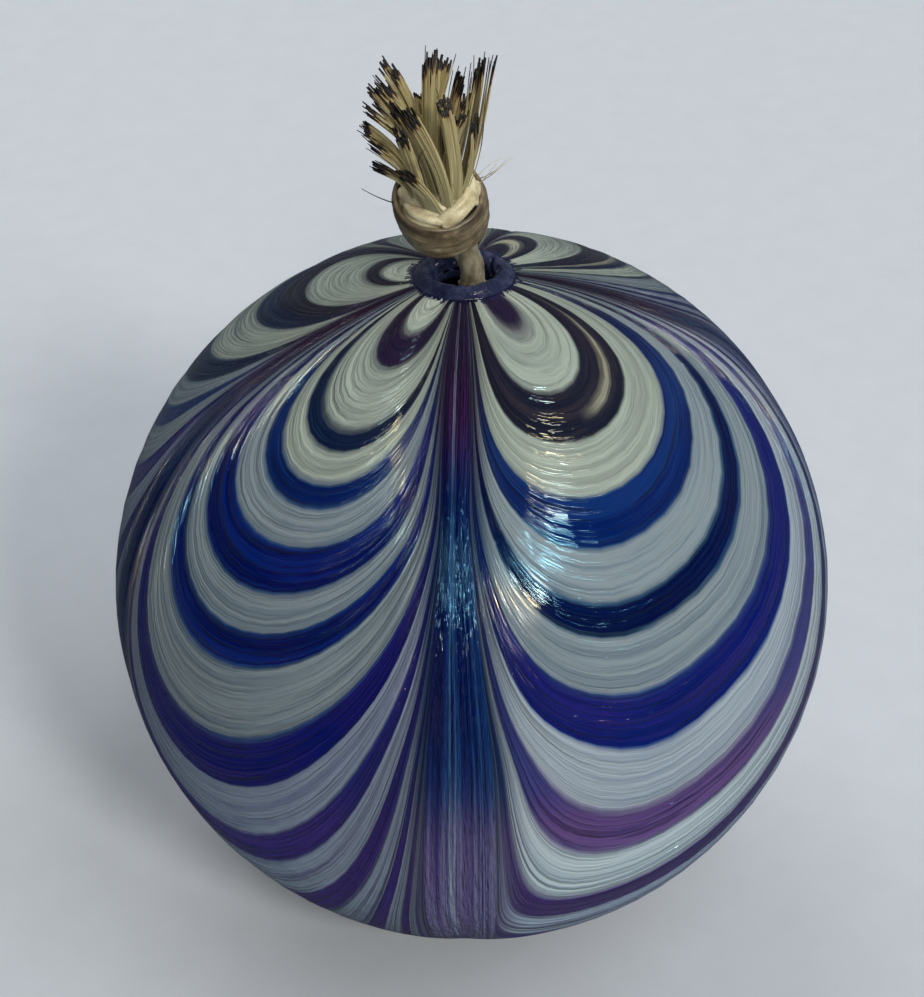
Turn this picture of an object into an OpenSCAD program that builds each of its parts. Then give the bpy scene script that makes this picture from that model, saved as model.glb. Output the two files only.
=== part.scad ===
// Glass ball ornament: a blown glass ball with a knotted, frayed cord standing in the hole at its top.
// Frame: millimetres, +Z up, origin at the centre of the ground foot, front of the ball towards -Y.

/* [Glass ball] */
// Outside diameter of the ball
ball_d = 84; // [80:1:96]
// Thickness of the outer, patterned layer of glass
casing_t = 1.2; // [0.8:0.1:1.6]
// Thickness of the whole wall at the ball's middle
wall_t = 3.8; // [3.4:0.1:5]
// How far the hollow sits above the ball's centre, which leaves the bottom thick and the top thin
hollow_lift = 1.5; // [0.5:0.1:1.7]
// Diameter of the flat, ground foot
foot_d = 22; // [18:1:26]
// Diameter of the polished hollow inside the foot
pontil_d = 14; // [11:1:15]
// Depth of that hollow
pontil_depth = 0.8; // [0.5:0.1:1]

/* [Lip] */
// Diameter of the hole through the lip
bore_d = 6.8; // [6.8:0.1:8]
// Width of the glass ring round the hole
lip_w = 2; // [1.6:0.1:2.6]
// How far the ring stands above the ball
lip_h = 0.7; // [0.4:0.1:0.9]

/* [Cord] */
// Diameter of the cord
cord_d = 3.2; // [2.4:0.1:3.3]
// Side of the hole that the cord leans on, in degrees anticlockwise from the right
cord_side = -60; // [-90:5:-30]
// Free length of the cord between the lip and the knot
neck_h = 3; // [3:0.1:5]

/* [Knot] */
// Outside diameter of the knot
knot_d = 10.5; // [10.2:0.1:10.8]
// Height of the knot's outer wrap
knot_h = 6.4; // [6:0.1:6.6]
// Thickness of the cord where it wraps round the knot
wrap_t = 0.9; // [0.7:0.05:1]
// Sideways distance from the middle of the ball to the middle of the knot
knot_shift = 2.2; // [2:0.1:2.6]
// Lean of the knot to the left, in degrees
lean_left = 9; // [4:1:12]
// Lean of the knot to the front, in degrees
lean_front = 22; // [16:1:24]

/* [Frayed yarns] */
// Width of one flat yarn
yarn_w = 1; // [0.6:0.05:1]
// Thickness of one yarn
yarn_t = 0.5; // [0.3:0.05:0.5]
// Length of the yarns, against the length that they have in the ornament
yarn_reach = 1; // [0.8:0.05:1.1]
// Thickness of a loose fibre
fibre_d = 0.24; // [0.16:0.02:0.3]

/* [Hidden] */
$fn = 72;
ball_r = ball_d / 2;
centre_z = sqrt(pow(ball_r, 2) - pow(foot_d / 2, 2));
top_z = centre_z + ball_r;
hollow_r = ball_r - wall_t;
hollow_z = centre_z + hollow_lift;
pontil_r = (pow(pontil_d / 2, 2) + pow(pontil_depth, 2)) / (2 * pontil_depth);

bore_r = bore_d / 2;
lip_r = bore_r + lip_w;
lip_bulge = 0.15;
bead_r = lip_w / 2 + lip_bulge;
lip_top = top_z + lip_h;

cord_r = cord_d / 2;
cord_play = 0.06;
cord_off = bore_r - cord_r - cord_play;
cord_x = cord_off * cos(cord_side);
cord_y = cord_off * sin(cord_side);
tail_end = hollow_z - hollow_r + 3;
tail_top = lip_top - 1.2;
cut_gap = 0.1;
bend_z = lip_top + 1.4;
stub_lift = 0.6;

knot_r = knot_d / 2;
barrel_r = 6.2;
belly_z = 1.2;
core_gap = 0.02;
knot_at = [-knot_shift, -0.1, lip_top + neck_h + 4];
// Where the cord enters the knot, from the knot's middle.
stub_end = [1.4, -0.6, 0];

// Root of each yarn in the knot's mouth [ring radius, degrees] and how far left, back and up its tip is.
YARNS = [
    ["left_yarn_1", [3.1, 195], [-6.7, -1.0, 3.6]],
    ["left_yarn_2", [3.1, 222], [-7.0, -2.5, 7.0]],
    ["left_yarn_3", [3.1, 170], [-7.5, -1.0, 8.0]],
    ["left_yarn_4", [1.6, 210], [-7.1, -3.0, 11.0]],
    ["left_yarn_5", [3.1, 148], [-6.9, 0.0, 11.6]],
    ["left_yarn_6", [1.6, 155], [-6.0, 1.0, 12.5]],
    ["left_yarn_7", [3.1, 124], [-5.0, 2.0, 13.8]],
    ["front_yarn_1", [3.1, 262], [-3.5, -5.5, 5.0]],
    ["front_yarn_2", [3.1, 242], [-3.7, -5.0, 9.4]],
    ["front_yarn_3", [1.5, 255], [-4.4, -3.5, 11.6]],
    ["front_yarn_4", [3.1, 285], [-2.8, -4.5, 11.2]],
    ["front_yarn_5", [2.9, 308], [0.9, -4.0, 12.4]],
    ["middle_yarn_1", [0.2, 180], [0.0, 1.0, 15.2]],
    ["middle_yarn_2", [1.6, 95], [1.2, 2.5, 14.0]],
    ["middle_yarn_3", [1.6, 40], [3.0, 1.5, 12.7]],
    ["middle_yarn_4", [1.7, 305], [2.9, -2.5, 10.0]],
    ["right_yarn_1", [1.7, 350], [4.4, 0.0, 14.3]],
    ["right_yarn_2", [3.1, 22], [5.2, 2.0, 13.9]],
    ["right_yarn_3", [3.1, 358], [6.1, 0.5, 14.3]],
    ["right_yarn_4", [3.1, 332], [4.4, -2.5, 9.5]],
    ["back_yarn_1", [3.1, 50], [3.4, 4.2, 12.6]],
    ["back_yarn_2", [3.1, 74], [0.8, 5.4, 12.0]],
    ["back_yarn_3", [3.1, 99], [-2.4, 5.2, 12.4]],
    ["back_yarn_4", [1.4, 125], [-3.0, 3.4, 10.8]]
];
// Start and tip of each loose fibre, from the middle of the knot's mouth.
FIBRES = [
    [[-5.2, -0.8, -0.6], [-8.4, -1.0, 0.8]],
    [[5.3, 0.4, 1.2], [8.6, 1.2, 3.4]],
    [[5.1, 1.9, 1.4], [7.8, 2.6, 2.4]]
];

// ---- Glass ----

// The space below the table and the polished hollow that grinding leaves in the foot.
module ground_away() {
    translate([-ball_r, -ball_r, -ball_r])
        cube([ball_d, ball_d, ball_r]);
    translate([0, 0, pontil_depth - pontil_r])
        sphere(r = pontil_r);
}

// The neck of clear glass that rises through the patterned layer and ends in a rounded bead.
module lip() {
    translate([0, 0, hollow_z])
        cylinder(r = lip_r, h = lip_top - bead_r - hollow_z);
    translate([0, 0, lip_top - bead_r])
        rotate_extrude()
            translate([bore_r + lip_w / 2, 0])
                circle(r = bead_r);
}

module glass_bubble() {
    color([0.20, 0.20, 0.42])
        difference() {
            union() {
                translate([0, 0, centre_z])
                    sphere(r = ball_r - casing_t);
                lip();
            }
            translate([0, 0, hollow_z])
                sphere(r = hollow_r);
            translate([0, 0, hollow_z])
                cylinder(r = bore_r, h = ball_r);
            ground_away();
        }
}

module patterned_casing() {
    color([0.62, 0.70, 0.72])
        difference() {
            translate([0, 0, centre_z])
                sphere(r = ball_r);
            translate([0, 0, centre_z])
                sphere(r = ball_r - casing_t);
            translate([0, 0, hollow_z])
                cylinder(r = bore_r, h = ball_r);
            lip();
            ground_away();
        }
}

// ---- Cord ----

module cord_tail() {
    color([0.68, 0.60, 0.44])
        translate([cord_x, cord_y, tail_end])
            cylinder(r = cord_r, h = tail_top - tail_end);
}

// The length in the hole, which ends in a round that the knot's cord bends on.
module cord_neck() {
    color([0.68, 0.60, 0.44])
        union() {
            translate([cord_x, cord_y, tail_top + cut_gap])
                cylinder(r = cord_r, h = bend_z - tail_top - cut_gap);
            translate([cord_x, cord_y, bend_z])
                sphere(r = cord_r);
        }
}

// The length that rises from the bend into the knot, with this radius.
module cord_into_knot(r) {
    way = knot_at + stub_end - [cord_x, cord_y, bend_z];
    translate([cord_x, cord_y, bend_z])
        rotate([0, acos(way.z / norm(way)), atan2(way.y, way.x)])
            difference() {
                translate([0, 0, stub_lift])
                    cylinder(r = r, h = norm(way) - stub_lift);
                sphere(r = cord_r + cut_gap);
            }
}

// ---- Knot ----

module on_knot() {
    translate(knot_at)
        rotate([lean_front, -lean_left, 0])
            children();
}

// Half of the knot's upright section: an egg-shaped barrel, set in from the outside by a distance.
module knot_section(inset) {
    intersection() {
        translate([knot_r - barrel_r, belly_z])
            circle(r = barrel_r - inset);
        translate([0, -knot_h / 2])
            square([knot_r, knot_h]);
    }
}

module knot_core() {
    color([0.62, 0.54, 0.38])
        union() {
            on_knot()
                rotate_extrude()
                    knot_section(wrap_t + core_gap);
            cord_into_knot(cord_r - cut_gap);
        }
}

module knot_wrap() {
    color([0.52, 0.44, 0.32])
        difference() {
            on_knot()
                rotate_extrude()
                    difference() {
                        knot_section(0);
                        knot_section(wrap_t);
                    }
            cord_into_knot(cord_r);
        }
}

// ---- Frayed yarns ----

// A point of the knot's own upright frame, turned to the way that the knot leans.
function leaned(p) =
    let (
        y = p.y * cos(lean_front) - p.z * sin(lean_front),
        z = p.y * sin(lean_front) + p.z * cos(lean_front)
    )
    [p.x * cos(lean_left) - z * sin(lean_left), y, p.x * sin(lean_left) + z * cos(lean_left)];

// A point on the curve that leaves a along the way to b and ends at c.
function bend(a, b, c, t) = a * pow(1 - t, 2) + 2 * b * t * (1 - t) + c * pow(t, 2);
function unit(v) = v / norm(v);

// A flat, six-sided strip that follows such a curve.
module strip(a, b, c, w, t, steps = 6) {
    sides = [for (k = [0:5]) [cos(60 * k) * w / 2, sin(60 * k) * t / 2 / sin(60)]];
    rings = [
        for (i = [0:steps])
            let (
                p = bend(a, b, c, i / steps),
                along = unit(bend(a, b, c, (i + 0.5) / steps) - bend(a, b, c, (i - 0.5) / steps)),
                across = unit(cross(along, [c.x + 0.01, c.y, 0.3])),
                out = cross(across, along)
            )
            for (s = sides) p + across * s.x + out * s.y
    ];
    walls = [
        for (i = [0:steps - 1], k = [0:5])
            [6 * i + k, 6 * i + 6 + k, 6 * i + 6 + (k + 1) % 6, 6 * i + (k + 1) % 6]
    ];
    ends = [[0, 1, 2, 3, 4, 5], [for (k = [5:-1:0]) 6 * steps + k]];
    polyhedron(points = rings, faces = concat(walls, ends));
}

// Everything that stands in the knot's mouth is measured from the middle of the mouth.
module in_mouth() {
    translate(knot_at + leaned([0, 0, knot_h / 2]))
        children();
}

module yarn(root, tip) {
    start = leaned([root.x * cos(root.y), root.x * sin(root.y), 0.15]);
    end = start + (tip - start) * yarn_reach;
    color([0.78, 0.70, 0.50])
        in_mouth()
            strip(start, [start.x * 1.3, start.y * 1.3, start.z + tip.z * 0.4], end, yarn_w, yarn_t);
}

module loose_fibres() {
    color([0.30, 0.26, 0.20])
        in_mouth()
            for (f = FIBRES)
                strip(f[0], (f[0] + f[1]) / 2 + [0, 0, 0.4], f[1], fibre_d, fibre_d, 4);
}

glass_bubble();
patterned_casing();
cord_tail();
cord_neck();
knot_core();
knot_wrap();
for (y = YARNS)
    yarn(y[1], y[2]);
loose_fibres();
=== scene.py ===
"""Looks of the glass ball ornament: a blown ball with a pulled feather pattern and a knotted, frayed cord.

Lengths are in millimetres and turned to metres when a mesh is made. The frame is the CAD model's:
+Z up, front of the ball towards -Y. A place on the ball is a colatitude from the top and an azimuth
from the front, growing to the right.
"""

import math
import random
from collections import namedtuple

import bpy
import numpy as np
from mathutils import Matrix, Vector, noise


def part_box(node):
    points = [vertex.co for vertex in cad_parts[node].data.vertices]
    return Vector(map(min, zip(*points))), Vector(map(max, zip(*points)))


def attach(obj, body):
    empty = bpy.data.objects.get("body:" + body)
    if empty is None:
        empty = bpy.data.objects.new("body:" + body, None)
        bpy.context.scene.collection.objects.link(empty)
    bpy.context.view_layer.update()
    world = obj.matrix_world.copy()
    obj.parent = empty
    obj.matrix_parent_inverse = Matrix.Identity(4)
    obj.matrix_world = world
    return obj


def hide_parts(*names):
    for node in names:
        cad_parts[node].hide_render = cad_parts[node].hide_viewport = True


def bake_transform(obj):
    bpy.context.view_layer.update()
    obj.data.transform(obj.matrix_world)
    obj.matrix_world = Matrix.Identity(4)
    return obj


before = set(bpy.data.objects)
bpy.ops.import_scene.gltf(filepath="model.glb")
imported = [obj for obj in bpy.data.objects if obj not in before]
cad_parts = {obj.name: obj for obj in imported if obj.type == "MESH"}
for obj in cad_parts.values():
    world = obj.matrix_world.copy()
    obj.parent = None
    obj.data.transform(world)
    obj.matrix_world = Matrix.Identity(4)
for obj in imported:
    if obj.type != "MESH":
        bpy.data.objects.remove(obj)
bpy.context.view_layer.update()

MM = 0.001
UP = np.array([0.0, 0.0, 1.0])

# ---- Sizes that come from the frame ----


def box_mm(node):
    """Lowest and highest corner of a CAD node, in millimetres."""
    low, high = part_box(node)
    return np.array(low) / MM, np.array(high) / MM


casing_low, casing_high = box_mm("patterned_casing")
bubble_low, bubble_high = box_mm("glass_bubble")
neck_low, neck_high = box_mm("cord_neck")
tail_low, tail_high = box_mm("cord_tail")

BALL_R = (casing_high[0] - casing_low[0]) / 2
LIP_RISE = 0.7
LIP_TOP = bubble_high[2]
CENTRE_Z = LIP_TOP - LIP_RISE - BALL_R
CENTRE = np.array([0.0, 0.0, CENTRE_Z])
FOOT_R = math.sqrt(BALL_R**2 - CENTRE_Z**2)
INNER_R = (bubble_high[0] - bubble_low[0]) / 2
BORE_R = 3.4
RING_W = 2.0
LIP_R = BORE_R + RING_W
HOLLOW_R = 38.2
HOLLOW_Z = CENTRE_Z + 1.5
PONTIL_R = 7.0
PONTIL_DEPTH = 0.8
# The polished hollow under the foot cuts through the seam between the two glasses at this radius.
SEAM_R = 6.12

CORD_AXIS = (neck_low + neck_high) / 2
CORD_R = (neck_high[0] - neck_low[0]) / 2
BEND_Z = neck_high[2] - CORD_R

KNOT_R = 5.25
KNOT_H = 6.4
KNOT_BARREL_R = 6.2
KNOT_BELLY_Z = 1.2
KNOT_WALL = 0.6
KNOT_FULLNESS = 0.9
LEAN_LEFT = math.radians(9)
LEAN_FRONT = math.radians(22)
KNOT_CENTRE = np.array([-2.2, -0.1, LIP_TOP + 7.0])
KNOT_TURN = np.array(Matrix.Rotation(-LEAN_LEFT, 3, "Y") @ Matrix.Rotation(LEAN_FRONT, 3, "X"))
MOUTH = KNOT_CENTRE + KNOT_TURN @ (UP * KNOT_H / 2)

# ---- Colours, as sRGB levels from 0 to 255 ----


def srgb(r, g, b):
    """A linear colour from sRGB levels."""
    level = np.array([r, g, b]) / 255
    linear = np.where(level <= 0.04045, level / 12.92, ((level + 0.055) / 1.055) ** 2.4)
    return (*linear, 1.0)


def stops(*places):
    """Colour ramp stops from (position, r, g, b) in sRGB levels."""
    return [(position, srgb(r, g, b)) for position, r, g, b in places]


# Each glass colour has a second colour, which its fine drawn lines take.
GLASS = {
    "ivory": (srgb(132, 141, 131), srgb(104, 112, 106)),
    "milk": (srgb(108, 119, 124), srgb(80, 93, 104)),
    "cool_milk": (srgb(108, 118, 134), srgb(80, 89, 114)),
    # The next three are lighter copies of cool milk and violet for the right front swag: painted light from
    # the side that the key light faces.
    "lit_cool_milk": (srgb(126, 137, 145), srgb(104, 115, 129)),
    "brighter_lit_cool_milk": (srgb(136, 147, 153), srgb(114, 125, 138)),
    "lit_violet": (srgb(74, 54, 98), srgb(30, 18, 76)),
    "midnight": (srgb(3, 8, 46), srgb(8, 22, 66)),
    "cream": (srgb(126, 126, 110), srgb(66, 62, 54)),
    "plum": (srgb(36, 14, 48), srgb(10, 8, 26)),
    "umber": (srgb(15, 18, 32), srgb(40, 36, 44)),
    "navy": (srgb(7, 18, 44), srgb(16, 36, 62)),
    "blue": (srgb(6, 24, 72), srgb(20, 46, 92)),
    "cobalt": (srgb(2, 6, 66), srgb(8, 34, 98)),
    "indigo": (srgb(6, 4, 82), srgb(42, 24, 90)),
    "royal": (srgb(7, 16, 82), srgb(48, 28, 90)),
    "violet": (srgb(46, 30, 98), srgb(16, 10, 66)),
    "mauve": (srgb(46, 34, 74), srgb(34, 18, 70)),
}


# ---- Meshes ----


def mesh_object(name, points, faces, floats=None, corner_floats=None, slots=None):
    """A mesh object from millimetre points, with float attributes on its points or its corners."""
    mesh = bpy.data.meshes.new(name)
    mesh.from_pydata((np.asarray(points) * MM).tolist(), [], [list(f) for f in faces])
    for domain, layers in (("POINT", floats), ("CORNER", corner_floats)):
        for label, values in (layers or {}).items():
            layer = mesh.attributes.new(label, "FLOAT", domain)
            layer.data.foreach_set("value", np.asarray(values, np.float32))
    if slots is not None:
        mesh.polygons.foreach_set("material_index", np.asarray(slots, np.int32))
    mesh.polygons.foreach_set("use_smooth", [True] * len(mesh.polygons))
    mesh.validate()
    piece = bpy.data.objects.new(name, mesh)
    bpy.context.scene.collection.objects.link(piece)
    return piece


def settle(piece, material, body, node):
    """Give a piece its material, its moving body, and the CAD node that it stands in for."""
    piece.data.materials.append(material)
    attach(piece, body)
    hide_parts(node)


def wobble(point, size, seed=0.0):
    """Smooth noise from about -1 to 1 whose bumps are this many millimetres across."""
    return noise.noise(Vector(point) / size + Vector((seed, 2.7 * seed, -1.3 * seed)))


def curve_through(start, middle, end, shares):
    """Points of a smooth curve from start to end that leans towards middle, at these shares of its way."""
    share = np.asarray(shares)[:, None]
    return start * (1 - share) ** 2 + 2 * middle * share * (1 - share) + end * share**2


def revolve(profile, columns, shape):
    """Points and faces of a closed turned solid, each point moved by shape.

    The profile runs from axis to axis as [radius, z].
    """
    ring = np.arange(columns) * 2 * math.pi / columns
    points = [[0, 0, profile[0][1]]]
    for radius, z in profile[1:-1]:
        for angle in ring:
            points.append(shape(np.array([radius * math.cos(angle), radius * math.sin(angle), z])))
    points.append([0, 0, profile[-1][1]])
    rows = len(profile) - 2
    last = 1 + (rows - 1) * columns
    faces = []
    for column in range(columns):
        after = (column + 1) % columns
        faces.append([0, 1 + after, 1 + column])
        for low in range(1, last, columns):
            faces.append([low + column, low + after, low + columns + after, low + columns + column])
        faces.append([last + column, last + after, len(points) - 1])
    return np.array(points, float), faces


def tube(path, sides, radii, frame_hint=UP, flat=1.0):
    """Points and faces of a closed tube along a path, with one radius or one profile for each ring."""
    path = np.asarray(path, float)
    along = np.gradient(path, axis=0)
    along /= np.linalg.norm(along, axis=1)[:, None]
    across = np.cross(along, frame_hint)
    across /= np.linalg.norm(across, axis=1)[:, None] + 1e-9
    out = np.cross(across, along)
    turn = np.arange(sides) * 2 * math.pi / sides
    radii = np.asarray(radii, float)
    if radii.ndim == 1:
        radii = np.repeat(radii[:, None], sides, axis=1)
    rings = (
        path[:, None]
        + across[:, None] * (radii * np.cos(turn))[..., None]
        + out[:, None] * (radii * np.sin(turn) * flat)[..., None]
    )
    points = rings.reshape(-1, 3)
    faces = []
    for ring in range(len(path) - 1):
        for side in range(sides):
            a = ring * sides + side
            b = ring * sides + (side + 1) % sides
            faces.append([a, b, b + sides, a + sides])
    faces.append(list(range(sides))[::-1])
    faces.append([(len(path) - 1) * sides + side for side in range(sides)])
    return points, faces


class Heap:
    """Many closed shells gathered into one mesh."""

    def __init__(self):
        self.points = []
        self.faces = []
        self.floats = {}
        self.count = 0

    def add(self, points, faces, **floats):
        self.points.append(points)
        self.faces.extend([[i + self.count for i in face] for face in faces])
        self.count += len(points)
        for label, values in floats.items():
            self.floats.setdefault(label, []).append(np.broadcast_to(values, len(points)))

    def build(self, name):
        floats = {label: np.concatenate(values) for label, values in self.floats.items()}
        return mesh_object(name, np.concatenate(self.points), self.faces, floats)


# ---- Materials ----


class Nodes:
    """A node tree, with one short call for each kind of node."""

    def __init__(self, tree):
        self.tree = tree

    def put(self, socket, value):
        if isinstance(value, bpy.types.NodeSocket):
            self.tree.links.new(value, socket)
        else:
            socket.default_value = value

    def node(self, kind, output=0, **settings):
        """A node. Settings whose names are sockets are put there, and the others set its options."""
        made = self.tree.nodes.new(kind)
        for name, value in settings.items():
            if hasattr(made, name):
                setattr(made, name, value)
        for name, value in settings.items():
            if not hasattr(made, name):
                self.put(made.inputs[name.replace("_", " ")], value)
        return made.outputs[output]

    def math(self, operation, a, b=0.0):
        made = self.tree.nodes.new("ShaderNodeMath")
        made.operation = operation
        self.put(made.inputs[0], a)
        self.put(made.inputs[1], b)
        return made.outputs[0]

    def times(self, a, b):
        return self.math("MULTIPLY", a, b)

    def plus(self, a, b):
        return self.math("ADD", a, b)

    def attribute(self, name):
        made = self.tree.nodes.new("ShaderNodeAttribute")
        made.attribute_name = name
        return made.outputs["Fac"]

    def place(self):
        return self.node("ShaderNodeTexCoord", output=3)

    def vector(self, x, y=0.0, z=0.0):
        return self.node("ShaderNodeCombineXYZ", X=x, Y=y, Z=z)

    def noise(self, vector, scale, detail=2.0, roughness=0.5):
        return self.node(
            "ShaderNodeTexNoise", Vector=vector, Scale=scale, Detail=detail, Roughness=roughness
        )

    def fit(self, value, low, high, new_low=0.0, new_high=1.0, smooth=True):
        made = self.tree.nodes.new("ShaderNodeMapRange")
        made.interpolation_type = "SMOOTHSTEP" if smooth else "LINEAR"
        for index, item in enumerate((value, low, high, new_low, new_high)):
            self.put(made.inputs[index], item)
        return made.outputs[0]

    def ramp(self, value, marks):
        """A colour ramp whose marks are (position, colour)."""
        made = self.tree.nodes.new("ShaderNodeValToRGB")
        elements = made.color_ramp.elements
        while len(elements) < len(marks):
            elements.new(1.0)
        # All positions are set before the colours, because moving a mark can change their order.
        for element, (position, _) in zip(elements, marks):
            element.position = position
        for element, (_, colour) in zip(elements, marks):
            element.color = colour
        self.put(made.inputs[0], value)
        return made.outputs[0]

    def mix(self, factor, a, b, blend="MIX"):
        made = self.tree.nodes.new("ShaderNodeMix")
        made.data_type = "RGBA"
        made.blend_type = blend
        self.put(made.inputs[0], factor)
        self.put(made.inputs[6], a)
        self.put(made.inputs[7], b)
        return made.outputs[2]

    def bump(self, height, distance, strength=1.0, normal=None):
        made = self.tree.nodes.new("ShaderNodeBump")
        made.inputs["Strength"].default_value = strength
        made.inputs["Distance"].default_value = distance * MM
        self.put(made.inputs["Height"], height)
        if normal is not None:
            self.put(made.inputs["Normal"], normal)
        return made.outputs[0]


class Shade(Nodes):
    """A material, made by putting nodes on its surface."""

    def __init__(self, name):
        self.material = bpy.data.materials.new(name)
        self.material.use_nodes = True
        super().__init__(self.material.node_tree)
        self.surface = self.tree.nodes["Principled BSDF"]

    def finish(self, **inputs):
        for name, value in inputs.items():
            self.put(self.surface.inputs[name.replace("_", " ")], value)
        return self.material


# ---- The pulled feather pattern ----

# Colatitudes where the pull lines and the drag of each swag are given, in degrees.
KNOTS = [15, 30, 45, 80, 115]

# Curves through those values are averaged over one of this many parts of the casing's rows.
SMOOTHED_PARTS = 9

# A swag hangs between two pull lines. Its left and right edges are azimuths in degrees, and its left and
# right drags say how far, in millimetres, the tool drew the glass up for each e-fold nearer to that edge.
# Gather is how far a narrower stretch of the swag was drawn, per e-fold of its width with neck added.
# Each band is (its lower end in millimetres on the pattern's own scale, its glass). A cream thread may
# start part of the way across its swag, with umber before it.
LEFT_BANDS = [
    (19.8, "ivory"), (23.7, "plum"), (30.2, "ivory"), (32.8, "navy"), (35.8, "ivory"), (38.7, "blue"),
    (43.5, "milk"), (49.4, "cobalt"), (54.2, "milk"), (58.7, "cobalt"), (68.5, "milk"), (75.5, "indigo"),
    (83.4, "cool_milk"), (89.4, "violet"),
]
RIGHT_BANDS = [
    (-5.8, "plum"), (-2.2, "ivory"), (0.0, "umber"), (1.1, "cream"), (2.7, "umber"), (8.0, "ivory"),
    (12.5, "blue"), (16.7, "milk"), (19.7, "midnight"), (25.2, "milk"), (30.6, "royal"), (35.7, "lit_cool_milk"),
    (39.8, "lit_violet"), (45.0, "brighter_lit_cool_milk"), (49.2, "mauve"),
]
RIGHT_BACK_BANDS = [
    (8.0, "umber"), (10.0, "cream"), (12.6, "umber"), (20.5, "ivory"), (26.5, "umber"), (28.0, "cream"),
    (30.8, "navy"), (36.2, "ivory"), (38.0, "navy"), (47.0, "milk"), (50.0, "blue"), (55.0, "cool_milk"),
    (61.0, "cobalt"), (69.0, "cool_milk"), (76.0, "indigo"),
]
LEFT_BACK_BANDS = [
    (5.8, "umber"), (8.6, "ivory"), (10.6, "umber"), (17.9, "ivory"), (21.5, "umber"), (25.7, "navy"),
    (33.5, "ivory"), (38.5, "navy"), (42.7, "milk"), (45.9, "blue"), (51.5, "milk"), (56.7, "indigo"),
    (64.0, "cool_milk"), (70.5, "cobalt"), (79.0, "cool_milk"),
]
SWAGS = [
    dict(
        name="left_front", bands=LEFT_BANDS,
        left=[-63.5, -67, -70.6, -70.5, -72.5], right=[-8.7, -7, -5.4, -7, -8.9],
        drag_left=[18.9, 17.4, 16, 14.2, 13.4], drag_right=[12, 13.1, 14.2, 21, 22.8],
        neck=13.3, gather=5.2,
    ),
    dict(
        name="right_front", bands=RIGHT_BANDS,
        left=[2.8, 1.3, -0.4, 2.4, 2.7], right=[86, 89.7, 100.6, 100.4, 97],
        drag_left=[7.7, 8, 9.5, 8.5, 3.5], drag_right=[16.4, 17.7, 24, 24.3, 17], neck=6.6, gather=12.8,
        cream_from=0.32,
    ),
    dict(
        name="right_back", bands=RIGHT_BACK_BANDS,
        left=[90, 93.5, 103, 103.5, 101], right=[159.9, 161.2, 162.5, 161, 161],
        drag_left=[19.1, 20.2, 21.4, 21, 21], drag_right=[3.1, 3.5, 3.8, 4.3, 4.3], neck=13.3, gather=4.1,
    ),
    dict(
        name="back", bands=LEFT_BANDS,
        left=[164.5, 165.8, 167, 166, 167], right=[221.5, 222.8, 224, 221, 220],
        drag_left=[9, 10, 11, 12, 13], drag_right=[8, 9, 10, 12, 14], neck=13.3, gather=5.2,
    ),
    dict(
        name="left_back", bands=LEFT_BACK_BANDS,
        left=[226.5, 227.5, 228.4, 226, 226], right=[292, 289, 286, 284, 282],
        drag_left=[3.2, 3.2, 3.3, 3.1, 3.1], drag_right=[5, 7, 8.9, 8.2, 8.2], neck=13.9, gather=2.5,
    ),
]
BAND_TOP = -20.0
BAND_SPAN = 140.0
BAND_EDGE = 0.5
# Below the listed bands, white and violet take turns at this pitch.
LATER_TURN = 15.5

ROWS = 210
SWAG_COLUMNS = 46
# A swag's columns are spread evenly over this logit to either side, so they crowd towards its edges.
SWAG_REACH = 5.4
ZONE_COLUMNS = 8
INNER_ROWS = 40
# Material slots of the casing after the swags' own.
LINE_SLOT = len(SWAGS)
INNER_SLOT = len(SWAGS) + 1

GROOVE_DEPTH = 0.22
# Ridges of the skin along the drawn threads: height and pitch, in millimetres.
BROAD_RIDGE = (0.035, 5.1)
FINE_RIDGE = (0.02, 3.2)


def smooth_line(values, colatitude):
    """A smooth curve that follows the values at KNOTS, level beyond them."""
    raw = np.interp(colatitude, KNOTS, values)
    width = len(colatitude) // SMOOTHED_PARTS
    kernel = np.hanning(width + 2)[1:-1]
    padded = np.pad(raw, width // 2, mode="edge")
    return np.convolve(padded, kernel / kernel.sum(), mode="valid")[: len(colatitude)]


def swag_phase(swag, colatitude, across):
    """Distance along the ball, in millimetres, that the glass at each place had before it was pulled."""
    left = smooth_line(swag["left"], colatitude)
    right = smooth_line(swag["right"], colatitude)
    drag_left = smooth_line(swag["drag_left"], colatitude)[:, None]
    drag_right = smooth_line(swag["drag_right"], colatitude)[:, None]
    down = np.radians(colatitude)
    girth = BALL_R * np.sin(np.minimum(down, math.pi / 2)) + swag["neck"]
    width = np.radians(right - left)
    return (
        (BALL_R * down)[:, None]
        - drag_left * np.log(across)
        - drag_right * np.log(1 - across)
        - (swag["gather"] * np.log(girth * width / 2))[:, None]
    )


def swag_sector(index, colatitude):
    """Azimuths and pattern values of one swag's columns, row by column."""
    swag = SWAGS[index]
    left = smooth_line(swag["left"], colatitude)[:, None]
    right = smooth_line(swag["right"], colatitude)[:, None]
    across = 1 / (1 + np.exp(-np.linspace(-SWAG_REACH, SWAG_REACH, SWAG_COLUMNS + 1)))
    edge = across[0]
    share = (across - edge) / (1 - 2 * edge)
    return dict(
        slot=index,
        azimuth=left + (right - left) * share,
        phase=swag_phase(swag, colatitude, across),
        across=np.broadcast_to(across, (ROWS, len(across))),
    )


def line_sector(index, colatitude):
    """The same for the pull line between this swag and the next one round."""
    following = SWAGS[(index + 1) % len(SWAGS)]
    wrap = 360 if index == len(SWAGS) - 1 else 0
    left = smooth_line(SWAGS[index]["right"], colatitude)[:, None]
    right = smooth_line(following["left"], colatitude)[:, None] + wrap
    share = np.linspace(0, 1, ZONE_COLUMNS + 1)
    return dict(
        slot=LINE_SLOT,
        azimuth=left + (right - left) * share,
        phase=np.broadcast_to(share + 10 * index, (ROWS, len(share))),
        across=np.broadcast_to(share, (ROWS, len(share))),
    )


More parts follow.
